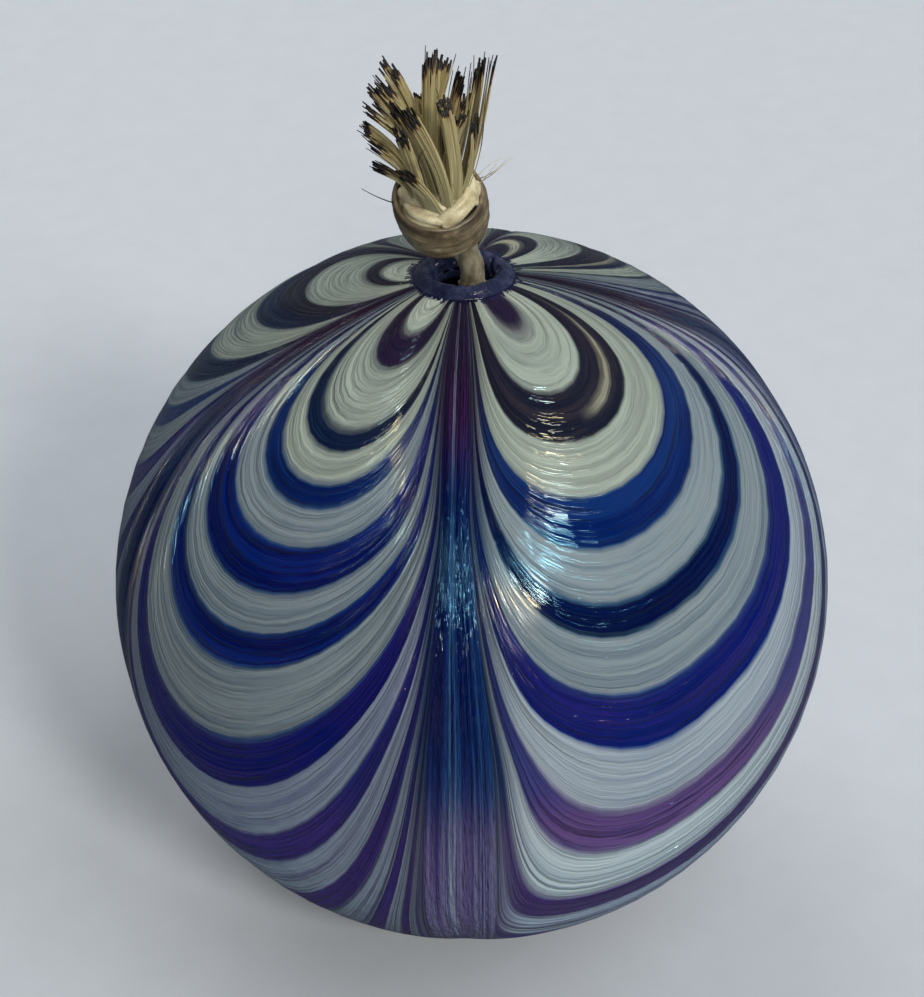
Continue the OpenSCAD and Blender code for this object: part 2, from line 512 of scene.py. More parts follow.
def swell_of(sector):
    """How far each point of the skin stands out: bands lie a little proud, and pull lines are grooves."""
    across = sector["across"]
    if sector["slot"] == LINE_SLOT:
        middle = np.cos((across - 0.5) * math.pi) ** 2
        return -GROOVE_DEPTH * (0.35 + 0.65 * middle)
    level = np.clip(4 * across * (1 - across), 0, 1)
    ridges = BROAD_RIDGE[0] * np.sin(sector["phase"] * math.tau / BROAD_RIDGE[1])
    ridges = ridges + FINE_RIDGE[0] * np.sin(sector["phase"] * math.tau / FINE_RIDGE[1] + 1.0)
    return ridges * level - GROOVE_DEPTH * 0.35 * np.exp(-((level / 0.16) ** 2))


def outer_skin(colatitude, turn, swell):
    """Points of the casing's outside, row by column. The swell fades out at the lip and at the foot."""
    down = np.radians(colatitude)[:, None]
    level = np.cos(down) + 0 * turn
    normal = np.stack([np.sin(down) * np.sin(turn), -np.sin(down) * np.cos(turn), level], -1)
    way_down = (colatitude - colatitude[0]) / (colatitude[-1] - colatitude[0])
    fade = np.minimum(1, 3 * np.sin(np.clip(way_down, 0, 1) * math.pi))
    radius = BALL_R + swell * fade[:, None]
    return CENTRE + normal * radius[..., None]


def hollow_z(radius):
    """Height of the polished hollow under the foot at this radius."""
    return PONTIL_DEPTH * (1 - (radius / PONTIL_R) ** 2)


def inner_skin(last, first):
    """Points below the outer skin: the flat foot, the hollow's rim, and the inside back up to the lip.

    The columns turn evenly from the azimuths of the outer skin's last row to those of its first row.
    """
    rings = [(PONTIL_R, 0.0), (SEAM_R, hollow_z(SEAM_R))]
    start = math.pi - math.asin(SEAM_R / INNER_R)
    end = math.asin(LIP_R / INNER_R)
    for angle in np.linspace(start, end, INNER_ROWS):
        rings.append((INNER_R * math.sin(angle), CENTRE_Z + INNER_R * math.cos(angle)))
    rows = []
    for index, (radius, z) in enumerate(rings):
        share = index / (len(rings) - 1)
        angle = last * (1 - share) + first * share
        rows.append(np.stack([radius * np.sin(angle), -radius * np.cos(angle), z + 0 * angle], -1))
    return np.array(rows)


def casing_faces(sectors, colatitude, total, columns):
    """Faces of the closed shell, with each one's material slot and its corners' pattern values."""
    faces = []
    slots = []
    values = dict(phase=[], across=[], down=[])
    for row in range(total):
        below = (row + 1) % total
        column = 0
        for sector in sectors:
            for step in range(sector["azimuth"].shape[1] - 1):
                after = (column + 1) % columns
                faces.append([row * columns + column, below * columns + column,
                              below * columns + after, row * columns + after])
                if row < ROWS - 1:
                    corners = [(row, step), (row + 1, step), (row + 1, step + 1), (row, step + 1)]
                    slots.append(sector["slot"])
                else:
                    corners = [(0, step)] * 4
                    slots.append(INNER_SLOT)
                values["phase"].extend(sector["phase"][c] for c in corners)
                values["across"].extend(sector["across"][c] for c in corners)
                values["down"].extend(colatitude[c[0]] for c in corners)
                column += 1
    return faces, slots, values


def build_casing():
    """The patterned layer of glass: a closed shell whose corners carry the pattern's coordinates."""
    top = math.degrees(math.asin(LIP_R / BALL_R))
    bottom = 180 - math.degrees(math.asin(FOOT_R / BALL_R))
    colatitude = np.linspace(top, bottom, ROWS)
    sectors = []
    for index in range(len(SWAGS)):
        sectors.append(swag_sector(index, colatitude))
        sectors.append(line_sector(index, colatitude))
    turn = np.radians(np.concatenate([s["azimuth"][:, :-1] for s in sectors], axis=1))
    swell = np.concatenate([swell_of(s)[:, :-1] for s in sectors], axis=1)
    outside = outer_skin(colatitude, turn, swell)
    grid = np.concatenate([outside, inner_skin(turn[-1], turn[0])], axis=0)
    faces, slots, values = casing_faces(sectors, colatitude, len(grid), turn.shape[1])
    return mesh_object("casing", grid.reshape(-1, 3), faces, corner_floats=values, slots=slots)


def band_stops(bands, which):
    """Ramp stops for a swag's bands: each edge is a narrow blur between two colours."""
    marks = [(0.0, GLASS[bands[0][1]][which])]
    blur = BAND_EDGE / 2
    below = [glass for _, glass in bands[1:]] + ["cool_milk"]
    for (end, glass), following in zip(bands, below):
        marks.append(((end - blur - BAND_TOP) / BAND_SPAN, GLASS[glass][which]))
        marks.append(((end + blur - BAND_TOP) / BAND_SPAN, GLASS[following][which]))
    return marks


def band_colour(shade, swag, reading, across, which):
    """A swag's banded colours: those of the glass itself (0) or of the fine lines drawn in it (1)."""
    banded = shade.ramp(reading, band_stops(swag["bands"], which))
    if "cream_from" not in swag:
        return banded
    plain = [(end, "umber" if glass == "cream" else glass) for end, glass in swag["bands"]]
    start = swag["cream_from"]
    shown = shade.times(shade.fit(across, start, start + 0.12), shade.fit(across, 0.74, 0.6))
    return shade.mix(shown, shade.ramp(reading, band_stops(plain, which)), banded)


def pulled_streaks(shade, line_place, down):
    """Colour of the drawn-out streaks along a pull line: plum at the top, then blue and teal, then mauve."""
    coarse = shade.noise(shade.vector(line_place, shade.times(down, 0.004)), 1.0, 1.0, 0.5)
    fine = shade.noise(shade.vector(line_place, shade.times(down, 0.002), 7.0), 3.4, 2.0, 0.6)
    tone = shade.plus(shade.times(coarse, 0.66), shade.times(fine, 0.34))
    tone = shade.fit(tone, 0.36, 0.64, smooth=False)
    top = shade.ramp(tone, stops(
        (0.0, 8, 4, 20), (0.3, 36, 10, 48), (0.52, 60, 18, 66), (0.66, 12, 8, 38), (0.8, 96, 98, 110),
        (1.0, 22, 14, 44),
    ))
    middle = shade.ramp(tone, stops(
        (0.0, 4, 6, 44), (0.3, 4, 12, 60), (0.5, 22, 46, 84), (0.6, 6, 12, 62), (0.78, 58, 78, 104),
        (0.86, 6, 12, 60), (1.0, 6, 10, 56),
    ))
    bottom = shade.ramp(tone, stops(
        (0.0, 34, 27, 74), (0.3, 68, 58, 94), (0.5, 86, 84, 110), (0.62, 50, 40, 84), (0.8, 104, 110, 128),
        (1.0, 60, 50, 92),
    ))
    upper = shade.mix(shade.fit(down, 26, 44), top, middle)
    return shade.mix(shade.fit(down, 74, 100), upper, bottom)


def tint_and_painted_light_by_height(shade, colour, down):
    """Near the lip dark glass is turned umber, and pale glass is lightened: painted light from above. Darks
    are bluer round the girdle, and all glass is brightened near the foot: painted light bounced up from the
    floor."""
    light = shade.node("ShaderNodeRGBToBW", Color=colour)
    dark = shade.times(shade.fit(light, 0.10, 0.03), shade.fit(down, 36, 18))
    colour = shade.mix(shade.times(dark, 0.6), colour, srgb(24, 20, 36))
    girdle = shade.times(shade.fit(down, 34, 46), shade.fit(down, 94, 82))
    girdle = shade.times(girdle, shade.fit(light, 0.12, 0.05))
    colour = shade.mix(girdle, colour, (0.35, 0.72, 0.95, 1), "MULTIPLY")
    # Painted light: pale glass near the lip is lightened, standing in for light from above.
    pale = shade.times(shade.fit(light, 0.12, 0.24), shade.fit(down, 18, 8))
    colour = shade.mix(shade.times(pale, 0.4), colour, srgb(186, 191, 175))
    # Painted light: all glass is brightened towards the foot, standing in for light bounced up from the
    # floor.
    return shade.mix(shade.fit(down, 86, 122), colour, (1.4, 1.5, 1.45, 1), "MULTIPLY")


def ragged_top(shade, colour, down):
    """The pattern stops at the lip in torn ends, where the lip's own blue glass shows."""
    split = shade.tree.nodes.new("ShaderNodeSeparateXYZ")
    shade.put(split.inputs[0], shade.place())
    heading = shade.math("ARCTAN2", split.outputs[1], split.outputs[0])
    teeth = shade.noise(shade.vector(heading, shade.times(down, 0.06)), 14.0, 2.0, 0.75)
    reach = shade.fit(teeth, 0.38, 0.62, 7.5, 9.0, smooth=False)
    covered = shade.fit(shade.math("SUBTRACT", down, reach), -0.1, 0.1)
    return shade.mix(covered, srgb(26, 27, 60), colour)


def casing_finish(shade, colour, lines):
    """Gloss, thin iridescent skin and drawn relief that all of the patterned glass has."""
    grime = shade.noise(shade.place(), 260.0, 4.0, 0.6)
    film = shade.noise(shade.place(), 75.0, 1.0, 0.5)
    film = shade.plus(shade.times(film, 0.8), shade.times(lines, 0.11))
    sheen = shade.ramp(film, [
        (0.54, (0.3, 0.78, 1.0, 1)), (0.64, (0.8, 1.0, 1.0, 1)), (0.71, (1.0, 0.84, 0.45, 1)),
        (0.78, (0.9, 1.0, 1.0, 1)), (0.90, (0.85, 0.6, 1.0, 1)),
    ])
    relief = shade.bump(lines, 0.32, 1.0)
    relief = shade.bump(shade.noise(shade.place(), 420.0, 2.0, 0.5), 0.01, 0.3, relief)
    return shade.finish(
        Base_Color=colour,
        Roughness=shade.fit(grime, 0.3, 0.75, 0.03, 0.09, smooth=False),
        Normal=relief,
        IOR=1.5,
        Specular_IOR_Level=0.85,
        Specular_Tint=sheen,
    )


def swag_material(swag):
    """One swag's glass. The ramp is read at the pattern's coordinate, so bands follow the drawn curves."""
    shade = Shade("glass_" + swag["name"])
    phase = shade.attribute("phase")
    across = shade.attribute("across")
    down = shade.attribute("down")
    slide = shade.times(across, 1.2)
    drift = shade.math("SUBTRACT", shade.noise(shade.place(), 40.0, 1.0, 0.5), 0.5)
    wander = shade.times(drift, 1.6)
    threads = shade.noise(shade.vector(shade.times(phase, 0.8), slide, 3.0), 1.0, 2.0, 0.6)
    fray = shade.times(shade.math("SUBTRACT", threads, 0.5), 1.1)
    place = shade.plus(phase, shade.plus(wander, fray))
    reading = shade.fit(place, BAND_TOP, BAND_TOP + BAND_SPAN, smooth=False)
    body = band_colour(shade, swag, reading, across, 0)
    drawn = band_colour(shade, swag, reading, across, 1)

    # Beyond the listed bands the same thread goes on, in even turns.
    last = swag["bands"][-1][0]
    turns = shade.math("SINE", shade.times(shade.math("SUBTRACT", place, last), math.tau / LATER_TURN))
    later = shade.mix(shade.fit(turns, -0.5, -0.1), GLASS["violet"][0], GLASS["cool_milk"][0])
    beyond = shade.fit(place, last + 2.0, last + 3.0)
    body = shade.mix(beyond, body, later)
    drawn = shade.mix(beyond, drawn, GLASS["mauve"][1])

    fine = shade.noise(shade.vector(place, slide), 2.3, 3.0, 0.62)
    broad = shade.noise(shade.vector(place, slide, 5.0), 0.7, 2.0, 0.6)
    edge = shade.math("MINIMUM", across, shade.math("SUBTRACT", 1.0, across))
    lines = shade.fit(fine, 0.5, 0.66)
    colour = shade.mix(shade.times(lines, 0.7), body, drawn)
    colour = shade.mix(shade.times(shade.fit(broad, 0.48, 0.64), 0.7), colour, drawn)

    near = shade.fit(edge, 0.06, 0.006)
    streaks = pulled_streaks(shade, shade.times(place, 0.12), down)
    colour = shade.mix(shade.times(near, 0.7), colour, streaks)
    colour = tint_and_painted_light_by_height(shade, colour, down)
    colour = ragged_top(shade, colour, down)
    # Thin dark lines between the drawn threads are painted shade in the grooves there, and they show most on
    # dark glass.
    groove_shade = shade.noise(shade.vector(place, slide, 11.0), 3.6, 1.0, 0.5)
    light = shade.node("ShaderNodeRGBToBW", Color=colour)
    depth = shade.fit(light, 0.02, 0.14, 0.6, 0.11)
    dark = shade.times(shade.fit(groove_shade, 0.58, 0.68), depth)
    colour = shade.mix(dark, colour, srgb(8, 12, 30))
    ribs = shade.noise(shade.vector(shade.times(phase, 0.35), slide, 9.0), 1.0, 2.0, 0.6)
    ribs = shade.times(ribs, shade.fit(edge, 0.26, 0.05, 0.0, 2.6))
    relief = shade.plus(shade.plus(fine, ribs), shade.times(broad, 2.6))
    return casing_finish(shade, colour, relief)


def pull_line_material():
    shade = Shade("glass_pull_lines")
    phase = shade.attribute("phase")
    down = shade.attribute("down")
    colour = pulled_streaks(shade, shade.times(phase, 4.0), down)
    colour = tint_and_painted_light_by_height(shade, colour, down)
    colour = ragged_top(shade, colour, down)
    ribs = shade.noise(shade.vector(phase, shade.times(down, 0.01)), 16.0, 2.0, 0.6)
    return casing_finish(shade, colour, shade.times(ribs, 2.4))


def inner_glass_material():
    shade = Shade("glass_inner")
    cloud = shade.noise(shade.place(), 120.0, 4.0, 0.6)
    colour = shade.mix(cloud, srgb(120, 128, 140), srgb(86, 86, 128))
    return shade.finish(
        Base_Color=colour,
        Roughness=shade.fit(cloud, 0.3, 0.7, 0.25, 0.5),
        Normal=shade.bump(cloud, 0.08, 0.5),
        IOR=1.52,
    )


def make_casing():
    casing = build_casing()
    for swag in SWAGS:
        casing.data.materials.append(swag_material(swag))
    casing.data.materials.append(pull_line_material())
    settle(casing, inner_glass_material(), "ball", "patterned_casing")


# ---- The bubble and its lip ----


SEAM_GAP = 0.02


def foot_and_skin():
    """Half section of the bubble's outside, from the polished hollow up to just under the lip."""
    skin_r = INNER_R - SEAM_GAP
    profile = [(0.0, PONTIL_DEPTH)]
    for share in np.linspace(0.25, 1, 4):
        profile.append((SEAM_R * share, hollow_z(SEAM_R * share)))
    start = math.pi - math.asin(SEAM_R / skin_r) - 0.01
    end = math.asin((LIP_R - SEAM_GAP) / skin_r)
    for angle in np.linspace(start, end, 44):
        profile.append((skin_r * math.sin(angle), CENTRE_Z + skin_r * math.cos(angle)))
    return profile


def lip_bead(skin_z):
    """Half section of the lip. Its shoulder is a half wave, and a rounded edge leads into the hole."""
    foot_r = LIP_R + 0.22
    crest_r = BORE_R + 0.42 * RING_W
    crest_z = LIP_TOP - 0.12
    bead = [(LIP_R - SEAM_GAP, skin_z - 0.4), (LIP_R - SEAM_GAP, skin_z - 0.08)]
    for share in np.linspace(0, 1, 14):
        radius = foot_r - (foot_r - crest_r) * share
        foot_z = CENTRE_Z + math.sqrt(BALL_R**2 - radius**2)
        lift = (0.5 - 0.5 * math.cos(share * math.pi)) ** 0.8
        bead.append((radius, foot_z * (1 - lift) + crest_z * lift + SEAM_GAP))
    edge_r = crest_r - BORE_R
    edge_z = LIP_TOP - 0.1 - edge_r
    for angle in np.linspace(math.pi / 2 + 0.15, math.pi, 9):
        bead.append((crest_r + edge_r * math.cos(angle), edge_z + edge_r * math.sin(angle)))
    return bead


def bubble_profile():
    """Half section of the clear bubble: polished hollow, outer skin, lip bead, bore and hollow."""
    skin_z = CENTRE_Z + math.sqrt(BALL_R**2 - LIP_R**2)
    profile = foot_and_skin() + lip_bead(skin_z)
    hollow_top = math.asin(BORE_R / HOLLOW_R)
    neck_bottom = HOLLOW_Z + HOLLOW_R * math.cos(hollow_top)
    start_z = profile[-1][1]
    for share in np.linspace(0.12, 1, 8):
        profile.append((BORE_R, start_z + (neck_bottom - start_z) * share))
    for angle in np.linspace(hollow_top + 0.05, math.pi - 0.05, 40):
        profile.append((HOLLOW_R * math.sin(angle), HOLLOW_Z + HOLLOW_R * math.cos(angle)))
    profile.append((0.0, HOLLOW_Z - HOLLOW_R))
    return profile


def worn_lip(point):
    """The bead is uneven, and its inner edge is cracked off in small flat chips."""
    if point[2] < LIP_TOP - 1.8:
        return point
    radius = math.hypot(point[0], point[1])
    if radius > LIP_R + 0.2 or radius < BORE_R - 0.2:
        return point
    heading = np.array([point[0], point[1], 0]) / radius
    inward = np.clip((BORE_R + RING_W * 0.55 - radius) / (RING_W * 0.55), 0, 1)
    outward = np.clip((LIP_R + 0.1 - radius) / 0.5, 0, 1)
    soft = wobble(point, 2.6, 1.0) * 0.22 * outward
    chip = wobble(point * [1, 1, 0.4], 0.7, 4.0)
    chip = (max(0.0, chip - 0.02) ** 0.5) * 0.5 * inward
    worn = 0.3 * inward * (0.5 + 0.5 * math.sin(math.atan2(point[1], point[0]) - 0.6))
    point = point + heading * (soft * 0.3 + chip * 0.8)
    return point - UP * (chip * 0.8 + worn - soft * 0.5)


def lip_material():
    """Blue-violet glass of the bubble in smoky clouds, from deep blue to paler slate, with small smooth
    flecks lightened as painted glints.
    """
    shade = Shade("glass_blue")
    cloud = shade.noise(shade.place(), 520.0, 4.0, 0.65)
    glint_flecks = shade.noise(shade.place(), 2600.0, 3.0, 0.7)
    colour = shade.ramp(cloud, stops((0.3, 18, 21, 48), (0.5, 38, 43, 70), (0.7, 66, 72, 98)))
    # The flecks are smoother spots of chipped glass, and their pale colour is a painted glint.
    colour = shade.mix(shade.fit(glint_flecks, 0.66, 0.76, 0, 0.35), colour, srgb(120, 130, 160))
    return shade.finish(
        Base_Color=colour,
        Roughness=shade.fit(glint_flecks, 0.35, 0.7, 0.06, 0.3),
        Normal=shade.bump(glint_flecks, 0.06, 0.7),
        IOR=1.52,
        Transmission_Weight=0.35,
        Coat_Weight=0.4,
        Coat_Roughness=0.04,
    )


def make_bubble():
    points, faces = revolve(bubble_profile(), 240, worn_lip)
    bubble = mesh_object("bubble_and_lip", points, faces)
    settle(bubble, lip_material(), "ball", "glass_bubble")


# ---- Cord ----

CORD_STRANDS = 5
CORD_HINT = np.array([0.3, 1.0, 0.1])


def cord_mesh(heap, path, radius, twist, taper_end=0.0, flare=0.0, sides=42):
    """One waxed cord along a path: strands laid round it show as soft ribs that turn along its length."""
    path = np.asarray(path, float)
    steps = np.linalg.norm(np.diff(path, axis=0), axis=1)
    length = np.concatenate([[0], np.cumsum(steps)])
    turn = np.arange(sides) * 2 * math.pi / sides
    radii = []
    for place, reach in zip(path, length):
        ribs = np.abs(np.sin((turn + twist * reach) * CORD_STRANDS / 2))
        rough = np.array([wobble(place + [2 * math.cos(a), 2 * math.sin(a), 0], 0.8, 3.0) for a in turn])
        share = reach / length[-1]
        full = radius * (1 + flare * np.clip(2 * share - 0.8, 0, 1))
        ring = full * (0.70 + 0.30 * ribs**0.6) + 0.06 * rough
        if taper_end:
            ring = ring * (1 - 0.5 * np.clip(1 - (length[-1] - reach) / taper_end, 0, 1) ** 2)
        radii.append(np.minimum(ring, full))
    points, faces = tube(path, sides, radii, frame_hint=CORD_HINT)
    along = np.repeat(length / length[-1], sides)
    heap.add(points, faces, along=along, shade=0.5)


def waxed_material(name, light, mid, dark, gloss=0.42):
    """Waxed cotton cord: mottled tan with soft sheen, darker wax stains and fine fibre streaks."""
    shade = Shade(name)
    place = shade.place()
    drawn_out = shade.node("ShaderNodeMapping", Vector=place, Scale=(900.0, 900.0, 4200.0))
    cloud = shade.noise(place, 420.0, 5.0, 0.65)
    stain = shade.noise(place, 190.0, 3.0, 0.6)
    fibre = shade.noise(drawn_out, 1.0, 3.0, 0.6)
    colour = shade.ramp(cloud, [(0.28, dark), (0.48, mid), (0.68, light)])
    colour = shade.mix(shade.fit(stain, 0.58, 0.74, 0, 0.6), colour, dark)
    colour = shade.mix(shade.fit(fibre, 0.55, 0.8, 0, 0.35), colour, light)
    relief = shade.bump(fibre, 0.06, 0.6)
    relief = shade.bump(cloud, 0.12, 0.5, relief)
    return shade.finish(
        Base_Color=colour,
        Roughness=shade.fit(cloud, 0.3, 0.7, gloss, gloss + 0.25),
        Normal=relief,
        Sheen_Weight=0.25,
        Sheen_Roughness=0.4,
        Subsurface_Weight=0.12,
        Subsurface_Scale=0.001,
        Subsurface_Radius=(1.0, 0.7, 0.4),
    )


def make_cord():
    cord_wax = waxed_material("cord_wax", srgb(112, 106, 86), srgb(86, 79, 61), srgb(44, 38, 26))
    tail = Heap()
    axis = CORD_AXIS[:2]
    levels = np.linspace(tail_high[2], tail_low[2], 120)
    cord_mesh(tail, [[*axis, z] for z in levels], CORD_R, 0.35, taper_end=5.0)
    settle(tail.build("cord_tail_strands"), cord_wax, "cord", "cord_tail")

    # The neck is straight up to near its bend, and then curves into the knot.
    foot = np.array([*axis, neck_low[2]])
    bend = np.array([*axis, BEND_Z])
    inside = KNOT_CENTRE + np.array([0.5, -0.7, -0.4])
    straight = [foot + (bend - foot) * share for share in np.linspace(0, 0.7, 8)]
    curved = curve_through(straight[-1], bend + UP * 0.5, inside, np.linspace(0.08, 1, 22))
    neck = Heap()
    cord_mesh(neck, np.concatenate([straight, curved]), CORD_R * 0.86, 0.3, flare=0.62)
    neck = neck.build("cord_neck_strands")
    neck.data.materials.append(cord_wax)
    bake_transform(neck)
    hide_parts("cord_neck")


# ---- Knot ----


def on_knot(point):
    """A point of the knot's own upright frame, in the ornament's frame."""
    return KNOT_CENTRE + KNOT_TURN @ np.asarray(point, float)


def knot_radius(z):
    """Radius of the knot's barrel at this height of its own frame. It is fuller towards its foot."""
    barrel = math.sqrt(max(0.0, KNOT_BARREL_R**2 - (z - KNOT_BELLY_Z) ** 2))
    full = KNOT_FULLNESS * np.clip(-z / KNOT_H * 2, 0, 1) ** 1.5
    return KNOT_R - KNOT_BARREL_R + barrel + full


KNOT_COLUMNS = 160


def wrap_material():
    """The wrap's waxed surface: streaks run round it, and it is darker in patches under its upper edge.
    Painted highlights lighten its rim and its lower edge.
    """
    shade = Shade("wrap_wax")
    along = shade.attribute("along")
    around = shade.attribute("around")
    place = shade.place()
    cloud = shade.noise(place, 480.0, 5.0, 0.7)
    blotch = shade.noise(place, 170.0, 3.0, 0.6)
    streak_place = shade.vector(shade.times(around, 7.0), shade.times(along, 15.0))
    streak = shade.noise(streak_place, 1.0, 3.0, 0.65)
    colour = shade.ramp(cloud, stops(
        (0.30, 60, 48, 32), (0.45, 94, 82, 60), (0.58, 120, 108, 84), (0.72, 150, 140, 116),
    ))
    colour = shade.mix(shade.fit(streak, 0.42, 0.62, 0.5, 0), colour, srgb(72, 60, 42))
    colour = shade.mix(shade.fit(streak, 0.58, 0.74, 0, 0.5), colour, srgb(160, 150, 124))
    # Darker in patches under the upper edge: on its left side, and where the blotch noise is high.
    darkened = shade.times(shade.fit(around, 0.24, 0.34), shade.fit(around, 0.5, 0.42))
    darkened = shade.times(darkened, shade.fit(cloud, 0.35, 0.5))
    darkened = shade.math("MAXIMUM", darkened, shade.fit(blotch, 0.5, 0.62))
    high = shade.times(shade.fit(along, 0.7, 0.9), darkened)
    colour = shade.mix(shade.times(high, 0.85), colour, srgb(44, 30, 20))
    # Painted highlight: the rim at the top is lightened.
    colour = shade.mix(shade.fit(along, 0.95, 1.0, 0, 0.3), colour, srgb(160, 152, 128))
    # Painted highlight: a lighter line runs along the lower edge and the floor of the wrap.
    colour = shade.mix(shade.fit(along, 0.08, 0.03, 0, 0.35), colour, srgb(158, 148, 122))
    relief = shade.bump(streak, 0.14, 0.8)
    relief = shade.bump(cloud, 0.10, 0.6, relief)
    return shade.finish(
        Base_Color=colour,
        Roughness=shade.fit(cloud, 0.3, 0.7, 0.26, 0.5),
        Normal=relief,
        Coat_Weight=0.15,
        Coat_Roughness=0.25,
        Subsurface_Weight=0.15,
        Subsurface_Scale=0.001,
        Subsurface_Radius=(1.0, 0.7, 0.4),
    )


def wrap_profile():
    """Half section of the wrap: floor, barrel, rounded rim, and the shallow cup inside the rim."""
    half = KNOT_H / 2
    floor_z = -half + 0.15
    rim_z = half - 0.45
    rim_r = KNOT_WALL / 2
    rim_x = knot_radius(rim_z) - rim_r
    profile = [(0.0, floor_z)]
    for share in np.linspace(0.2, 0.9, 4):
        profile.append((knot_radius(floor_z) * share, floor_z))
    for z in np.linspace(-half + 0.35, half - 0.5, 26):
        profile.append((knot_radius(z), z))
    for angle in np.linspace(0.25, math.pi - 0.2, 9):
        profile.append((rim_x + rim_r * math.cos(angle), rim_z + rim_r * math.sin(angle)))
    for share in np.linspace(0.15, 1, 6):
        profile.append((rim_x - rim_r - 0.5 * share, rim_z - 1.3 * share))
    return profile + [(0.0, half - 1.8)]


def wrapped(point):
    """A turned point of the wrap with its sag, its shallow turns and its dents, set on the leaning knot."""
    angle = math.atan2(point[1], point[0])
    radius = math.hypot(point[0], point[1])
    outer = np.clip((radius - 3.2) / 1.2, 0, 1)
    sag = 0.65 * math.sin(angle - 0.7) - 0.35 + 0.14 * math.sin(2 * angle + 1.0)
    turns = 0.045 * math.sin((point[2] + 0.25 * angle) * math.tau / 1.45)
    dents = 0.16 * wobble(point, 3.0, 6.0) + 0.05 * wobble(point, 0.9, 8.0)
    push = (dents + turns - 0.12) * outer
    direction = np.array([point[0], point[1], 0]) / radius
    level = np.clip(point[2] / KNOT_H + 0.5, 0, 1)
    return on_knot(point + direction * push + UP * (sag * level * outer))


def make_knot():
    """The wrap: one flat, waxed turn of cord round the bundle, open at the top like a cup."""
    profile = wrap_profile()
    points, faces = revolve(profile, KNOT_COLUMNS, wrapped)
    points[0] = on_knot(points[0])
    points[-1] = on_knot(points[-1])
    turn = np.arange(KNOT_COLUMNS) / KNOT_COLUMNS
    around = np.concatenate([[0], np.tile(np.minimum(turn, 1 - turn), len(profile) - 2), [0]])
    level = np.array([z for _, z in profile]) / KNOT_H + 0.5
    along = np.concatenate([level[:1], np.repeat(level[1:-1], KNOT_COLUMNS), level[-1:]])
    wrap = mesh_object("knot_wrap_turn", points, faces, dict(along=along, around=around))
    settle(wrap, wrap_material(), "knot", "knot_wrap")


# Start, middle and end of each fold, from a place just under the middle of the mouth, and its radius.
FOLDS = [
    ([-3.0, -0.6, -1.0], [-2.6, -3.4, -0.1], [1.4, -2.9, -1.3], 1.15),
    ([-3.2, 0.9, -0.7], [-1.6, -1.8, 1.0], [2.0, -1.6, -1.1], 1.45),
    ([-3.0, 1.8, -0.8], [0.2, 1.2, 1.1], [3.0, 0.6, -0.8], 1.5),
    ([-1.0, 2.9, -0.8], [1.6, 2.8, 0.6], [3.2, -0.4, -0.8], 1.3),
    ([1.6, 2.8, -0.8], [3.6, 1.4, 0.8], [3.0, -1.8, -0.9], 1.3),
    ([0.2, -3.2, -1.2], [3.0, -2.8, 0.5], [3.5, 0.4, -0.6], 1.25),
]
FOLD_LEVEL = KNOT_H / 2 - 0.35


def make_folds():
    """Pale bundles that fold over inside the knot's mouth, where the yarns start."""
    folds = Heap()
    rng = random.Random(11)
    for *places, radius in FOLDS:
        start, middle, end = (np.array(p) + UP * FOLD_LEVEL for p in places)
        path = curve_through(start, middle, end, np.linspace(0, 1, 26))
        cord_mesh(folds, [on_knot(p) for p in path], radius, rng.uniform(0.1, 0.25), sides=36)
    # The folds are pale, and their wax is lightened further: painted light against the shade that the wrap
    # casts on them.
    lit_fold_wax = waxed_material("lit_fold_wax", srgb(186, 178, 148), srgb(156, 146, 112), srgb(100, 90, 60), 0.26)
    settle(folds.build("knot_folds"), lit_fold_wax, "knot", "knot_core")


# ---- Frayed yarns ----

# A CAD yarn is a loft with this many points in each ring.
YARN_RING = 6


def yarn_line(node):
    """Centres and widest directions of a CAD yarn's rings, from root to tip, in millimetres."""
    vertices = np.array([v.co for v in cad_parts[node].data.vertices], float) / MM
    left = np.unique(np.round(vertices, 4), axis=0)
    near = left[np.argmax(np.linalg.norm(left - KNOT_CENTRE, axis=1))]
    centres = []
    wides = []
    while len(left) >= YARN_RING:
        order = np.argsort(np.linalg.norm(left - near, axis=1))
        ring = left[order[:YARN_RING]]
        left = left[order[YARN_RING:]]
        near = ring.mean(0)
        centres.append(near)
        wides.append(np.linalg.svd(ring - near)[2][0])
    return np.array(centres[::-1]), np.array(wides[::-1])


# Every yarn's root is drawn a little towards this place in the mouth, in the knot's upright frame.
GATHER = np.array([1.2, -0.6, -0.6])
GATHER_PULL = 0.3
ROOT_SINK = 1.3
BOW = np.array([1.0, 0.0, 0.3])

# For each group of yarns: flat strands side by side, layers of them, the bundle's half width at the tip,
# length as a share of the CAD yarn's, how far the middle bows out to the right, burnt length and its
# scatter, how ragged the cut is, and how many single fibres stand out of it.
Group = namedtuple("Group", "strands layers spread length bow burn scatter ragged strays")
GROUPS = {
    "left": Group(9, 2, 0.9, 1.0, 0.9, 0.8, 0.9, 0.07, 7),
    "front": Group(9, 2, 0.75, 1.0, 0.0, 1.35, 0.5, 0.04, 4),
    "middle": Group(9, 2, 0.9, 1.0, -0.3, 1.2, 0.6, 0.05, 5),
    "right": Group(6, 1, 0.95, 1.0, 0.5, 2.9, 0.4, 0.08, 7),
    "back": Group(8, 2, 0.9, 0.74, 0.3, 0.6, 0.8, 0.08, 5),
}
ROOT_HALF_WIDTH = 0.6
FIBRE_STEPS = 14
STRAND_SIDES = 12


